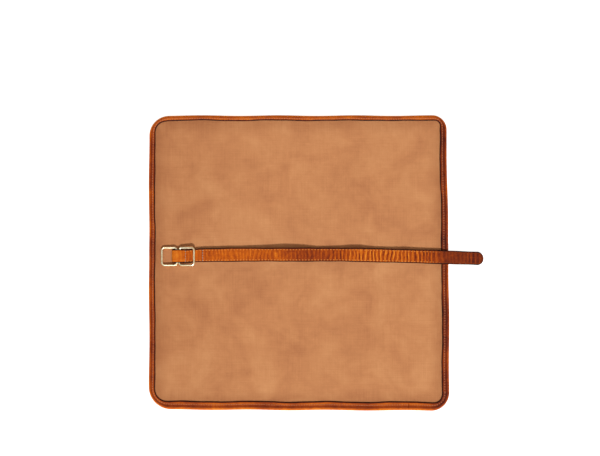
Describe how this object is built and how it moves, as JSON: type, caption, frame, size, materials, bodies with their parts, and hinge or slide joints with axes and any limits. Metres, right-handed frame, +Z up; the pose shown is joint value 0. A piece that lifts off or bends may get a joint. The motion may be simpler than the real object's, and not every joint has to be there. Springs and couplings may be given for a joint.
{
  "type": "brush roll case",
  "caption": "Square canvas brush roll with leather-bound edge, pockets inside and a leather strap with two brass rings; rolls up along its pocket seams.",
  "frame": {"origin": "under the middle of the whole case laid open, strap tip included, on the surface it lies on", "axes": "+X along the strap towards its tip, +Y along the brushes towards the pockets' open ends, +Z up through the outer face"},
  "size_m": [0.44, 0.388, 0.0144],
  "materials": {
    "canvas": "matte heavy waxed canvas, warm tan",
    "lining": "matte plain-weave cotton lining",
    "pocket_cloth": "matte medium canvas",
    "leather": "oiled pull-up leather, burnt orange-brown",
    "brass": "polished pale brass",
    "thread": "waxed linen thread"
  },
  "bodies": {
    "strip_01": {"canvas_01": "canvas", "lining_01": "lining", "binding_01": "leather"},
    "strip_02": {"canvas_02": "canvas", "lining_02": "lining", "binding_02": "leather", "pocket_02": "pocket_cloth", "strap_root": "leather"},
    "strip_03": {"canvas_03": "canvas", "lining_03": "lining", "binding_03": "leather", "pocket_03": "pocket_cloth"},
    "strip_04": {"canvas_04": "canvas", "lining_04": "lining", "binding_04": "leather", "pocket_04": "pocket_cloth"},
    "strip_05": {"canvas_05": "canvas", "lining_05": "lining", "binding_05": "leather", "pocket_05": "pocket_cloth"},
    "strip_06": {"canvas_06": "canvas", "lining_06": "lining", "binding_06": "leather", "pocket_06": "pocket_cloth"},
    "strip_07": {"canvas_07": "canvas", "lining_07": "lining", "binding_07": "leather", "pocket_07": "pocket_cloth"},
    "strip_08": {"canvas_08": "canvas", "lining_08": "lining", "binding_08": "leather", "pocket_08": "pocket_cloth"},
    "strip_09": {"canvas_09": "canvas", "lining_09": "lining", "binding_09": "leather", "pocket_09": "pocket_cloth"},
    "strip_10": {"canvas_10": "canvas", "lining_10": "lining", "binding_10": "leather", "pocket_10": "pocket_cloth"},
    "strip_11": {"canvas_11": "canvas", "lining_11": "lining", "binding_11": "leather", "pocket_11": "pocket_cloth"},
    "strip_12": {"canvas_12": "canvas", "lining_12": "lining", "binding_12": "leather"},
    "strap_1": {"strap_1": "leather"},
    "strap_2": {"strap_2": "leather"},
    "strap_3": {"strap_3": "leather"},
    "strap_4": {"strap_4": "leather"},
    "strap_5": {"strap_5": "leather"},
    "strap_6": {"strap_6": "leather"},
    "strap_tip": {"strap_tip": "leather"},
    "ring_left": {"ring_left": "brass"},
    "ring_right": {"ring_right": "brass"}
  },
  "joints": [
    {"name": "roll_up", "type": "hinge", "parent": "strip_02", "child": "strip_03", "pos_m": [-0.14711, 0, 0.0042], "axis": [0, 1, 0], "range_deg": [0, 60]},
    {"name": "fold_03", "type": "hinge", "parent": "strip_03", "child": "strip_04", "pos_m": [-0.10613, 0, 0.0042], "axis": [0, 1, 0], "range_deg": [0, 60]},
    {"name": "fold_04", "type": "hinge", "parent": "strip_04", "child": "strip_05", "pos_m": [-0.06709, 0, 0.0042], "axis": [0, 1, 0], "range_deg": [0, 60]},
    {"name": "fold_05", "type": "hinge", "parent": "strip_05", "child": "strip_06", "pos_m": [-0.02997, 0, 0.0042], "axis": [0, 1, 0], "range_deg": [0, 60]},
    {"name": "fold_06", "type": "hinge", "parent": "strip_06", "child": "strip_07", "pos_m": [0.00523, 0, 0.0042], "axis": [0, 1, 0], "range_deg": [0, 60]},
    {"name": "fold_07", "type": "hinge", "parent": "strip_07", "child": "strip_08", "pos_m": [0.0385, 0, 0.0042], "axis": [0, 1, 0], "range_deg": [0, 60]},
    {"name": "fold_08", "type": "hinge", "parent": "strip_08", "child": "strip_09", "pos_m": [0.06985, 0, 0.0042], "axis": [0, 1, 0], "range_deg": [0, 60]},
    {"name": "fold_09", "type": "hinge", "parent": "strip_09", "child": "strip_10", "pos_m": [0.09928, 0, 0.0042], "axis": [0, 1, 0], "range_deg": [0, 60]},
    {"name": "fold_10", "type": "hinge", "parent": "strip_10", "child": "strip_11", "pos_m": [0.12677, 0, 0.0042], "axis": [0, 1, 0], "range_deg": [0, 60]},
    {"name": "fold_11", "type": "hinge", "parent": "strip_11", "child": "strip_12", "pos_m": [0.15235, 0, 0.0042], "axis": [0, 1, 0], "range_deg": [0, 60]},
    {"name": "fold_01", "type": "hinge", "parent": "strip_02", "child": "strip_01", "pos_m": [-0.19, 0, 0.0042], "axis": [0, -1, 0], "range_deg": [0, 60]},
    {"name": "strap_bend_1", "type": "hinge", "parent": "strip_02", "child": "strap_1", "pos_m": [-0.1455, 0.008, 0.0085], "axis": [0, 1, 0], "range_deg": [0, 60]},
    {"name": "strap_bend_2", "type": "hinge", "parent": "strap_1", "child": "strap_2", "pos_m": [-0.0995, 0.008, 0.0085], "axis": [0, 1, 0], "range_deg": [0, 60]},
    {"name": "strap_bend_3", "type": "hinge", "parent": "strap_2", "child": "strap_3", "pos_m": [-0.0545, 0.008, 0.0085], "axis": [0, 1, 0], "range_deg": [0, 60]},
    {"name": "strap_bend_4", "type": "hinge", "parent": "strap_3", "child": "strap_4", "pos_m": [-0.0105, 0.008, 0.0085], "axis": [0, 1, 0], "range_deg": [0, 57]},
    {"name": "strap_bend_5", "type": "hinge", "parent": "strap_4", "child": "strap_5", "pos_m": [0.0595, 0.008, 0.0085], "axis": [0, 1, 0], "range_deg": [0, 57]},
    {"name": "strap_bend_6", "type": "hinge", "parent": "strap_5", "child": "strap_6", "pos_m": [0.1055, 0.008, 0.0085], "axis": [0, 1, 0], "range_deg": [0, 58]},
    {"name": "strap_bend_7", "type": "hinge", "parent": "strap_6", "child": "strap_tip", "pos_m": [0.1575, 0.008, 0.0085], "axis": [0, 1, 0], "range_deg": [0, 50]},
    {"name": "ring_left_swing", "type": "hinge", "parent": "strip_02", "child": "ring_left", "pos_m": [-0.1832, 0.008, 0.0102], "axis": [0, 1, 0], "range_deg": [0, 90]},
    {"name": "ring_right_swing", "type": "hinge", "parent": "strip_02", "child": "ring_right", "pos_m": [-0.1799, 0.008, 0.0102], "axis": [0, -1, 0], "range_deg": [0, 82]}
  ],
  "couplings": [
    {"joint": "fold_03", "follows": "roll_up", "ratio": 1},
    {"joint": "fold_04", "follows": "roll_up", "ratio": 1},
    {"joint": "fold_05", "follows": "roll_up", "ratio": 1},
    {"joint": "fold_06", "follows": "roll_up", "ratio": 1},
    {"joint": "fold_07", "follows": "roll_up", "ratio": 1},
    {"joint": "fold_08", "follows": "roll_up", "ratio": 1},
    {"joint": "fold_09", "follows": "roll_up", "ratio": 1},
    {"joint": "fold_10", "follows": "roll_up", "ratio": 1},
    {"joint": "fold_11", "follows": "roll_up", "ratio": 1},
    {"joint": "fold_01", "follows": "roll_up", "ratio": 1},
    {"joint": "strap_bend_1", "follows": "roll_up", "ratio": 1},
    {"joint": "strap_bend_2", "follows": "roll_up", "ratio": 1},
    {"joint": "strap_bend_3", "follows": "roll_up", "ratio": 1},
    {"joint": "strap_bend_4", "follows": "roll_up", "ratio": 0.95},
    {"joint": "strap_bend_5", "follows": "roll_up", "ratio": 0.95},
    {"joint": "strap_bend_6", "follows": "roll_up", "ratio": 0.9666},
    {"joint": "strap_bend_7", "follows": "roll_up", "ratio": 0.8333}
  ]
}
